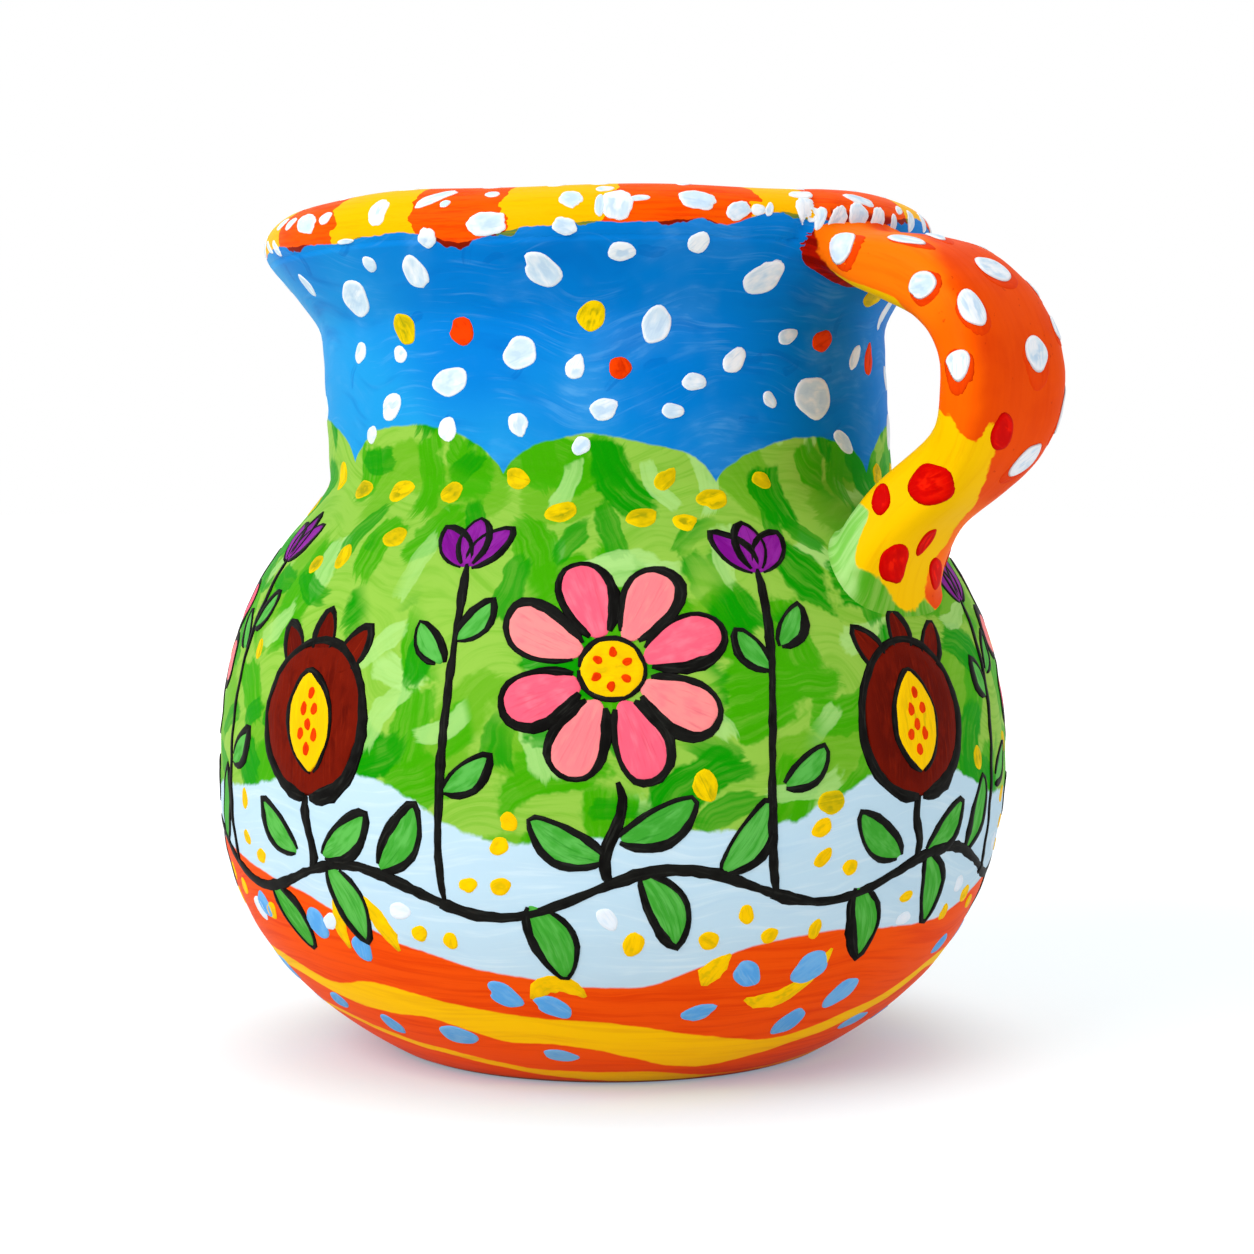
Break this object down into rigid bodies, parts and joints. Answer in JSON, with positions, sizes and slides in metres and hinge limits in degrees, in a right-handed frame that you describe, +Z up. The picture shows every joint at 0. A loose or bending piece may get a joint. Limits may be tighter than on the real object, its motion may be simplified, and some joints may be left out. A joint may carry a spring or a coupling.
{
  "type": "ceramic jug",
  "caption": "Round-bellied wheel-thrown ceramic jug with a wide flared mouth, a rolled lip and a pulled strap handle, painted in bright bands of dots, leaves and rosettes.",
  "frame": {"origin": "centre of the flat base, on the pot's axis", "axes": "+Z up along the pot's axis, +X from the axis towards the handle"},
  "size_m": [0.203, 0.18, 0.19],
  "materials": {
    "painted_body": "fired earthenware, hand-painted in satin acrylic: blue neck, green belly, orange and yellow base",
    "painted_lip": "fired earthenware, painted in alternate orange and yellow blocks with white dabs",
    "painted_handle": "fired earthenware, painted orange above and yellow below, with dabs",
    "slip": "fired slip of the same clay, under the paint"
  },
  "bodies": {
    "root": {"body": "painted_body", "lip_slip_joint": "slip", "lip_coil": "painted_lip", "handle": "painted_handle", "upper_slip_joint": "slip", "lower_slip_joint": "slip"}
  },
  "joints": []
}
